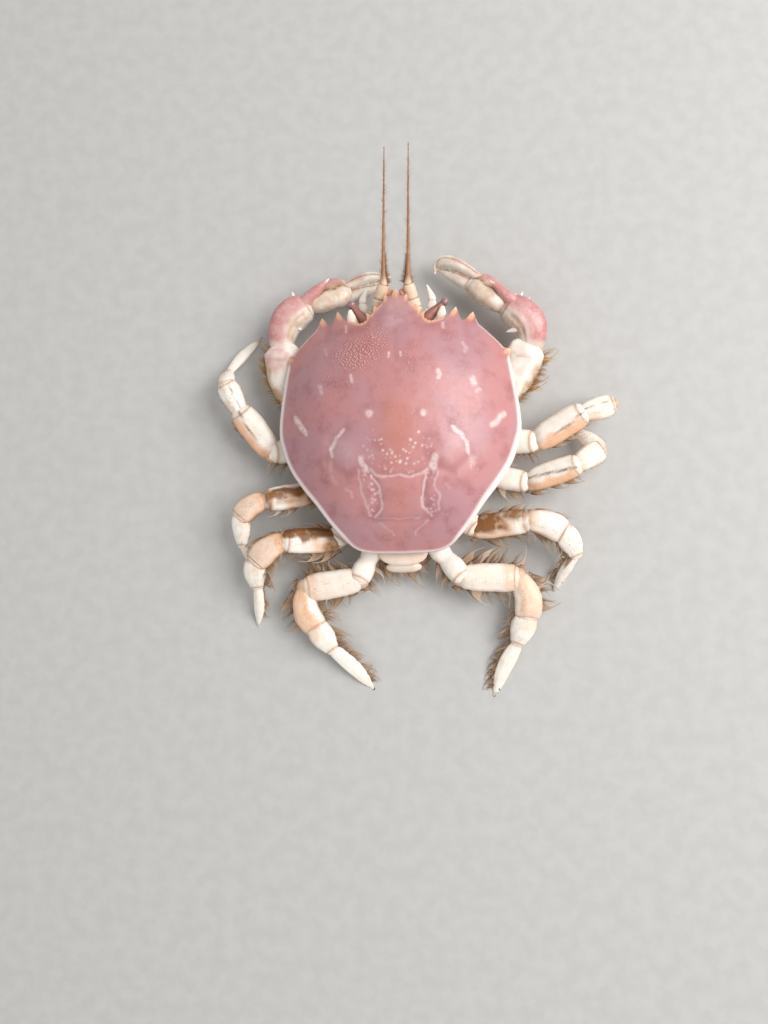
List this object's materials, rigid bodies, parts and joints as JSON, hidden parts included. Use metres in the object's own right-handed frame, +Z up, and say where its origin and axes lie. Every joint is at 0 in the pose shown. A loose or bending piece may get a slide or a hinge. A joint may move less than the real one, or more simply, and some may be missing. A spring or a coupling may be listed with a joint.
{
  "type": "crab display model",
  "caption": "Life-size still model of a sand crab with a domed oval shell, folded claws, bristly legs and upright feelers.",
  "frame": {"origin": "middle of the model's box at the floor, directly under the middle of the belly", "axes": "+Y forward to the feelers' tips, +X to the crab's right, +Z up"},
  "size_m": [0.104, 0.1356, 0.031],
  "materials": {
    "carapace": "rose-pink crab shell, wet satin, granulate at the front",
    "belly": "cream shell plate, satin",
    "limb": "cream and peach shell with brown bristles, satin",
    "claw": "rose and cream shell, granulate, satin",
    "antenna": "orange-brown ringed and bristled feeler",
    "eye": "red-brown stalk with a dark glossy cornea"
  },
  "bodies": {
    "root": {"carapace": "carapace", "thorax": "belly", "abdomen": "belly", "epistome": "belly", "eye_right": "eye", "antenna_base_right": "antenna", "antenna_flagellum_right": "antenna", "maxilliped_right": "limb", "arm_right": "limb", "wrist_right": "claw", "hand_right": "claw", "finger_right": "claw", "leg_1_right_coxa": "limb", "leg_1_right_merus": "limb", "leg_1_right_carpus": "limb", "leg_1_right_propodus": "limb", "leg_1_right_dactylus": "limb", "leg_2_right_coxa": "limb", "leg_2_right_merus": "limb", "leg_2_right_carpus": "limb", "leg_2_right_propodus": "limb", "leg_2_right_dactylus": "limb", "leg_3_right_coxa": "limb", "leg_3_right_merus": "limb", "leg_3_right_carpus": "limb", "leg_3_right_propodus": "limb", "leg_3_right_dactylus": "limb", "leg_4_right_coxa": "limb", "leg_4_right_merus": "limb", "leg_4_right_carpus": "limb", "leg_4_right_propodus": "limb", "leg_4_right_dactylus": "limb", "eye_left": "eye", "antenna_base_left": "antenna", "antenna_flagellum_left": "antenna", "maxilliped_left": "limb", "arm_left": "limb", "wrist_left": "claw", "hand_left": "claw", "finger_left": "claw", "leg_1_left_coxa": "limb", "leg_1_left_merus": "limb", "leg_1_left_carpus": "limb", "leg_1_left_propodus": "limb", "leg_1_left_dactylus": "limb", "leg_2_left_coxa": "limb", "leg_2_left_merus": "limb", "leg_2_left_carpus": "limb", "leg_2_left_propodus": "limb", "leg_2_left_dactylus": "limb", "leg_3_left_coxa": "limb", "leg_3_left_merus": "limb", "leg_3_left_carpus": "limb", "leg_3_left_propodus": "limb", "leg_3_left_dactylus": "limb", "leg_4_left_coxa": "limb", "leg_4_left_merus": "limb", "leg_4_left_carpus": "limb", "leg_4_left_propodus": "limb", "leg_4_left_dactylus": "limb"}
  },
  "joints": []
}
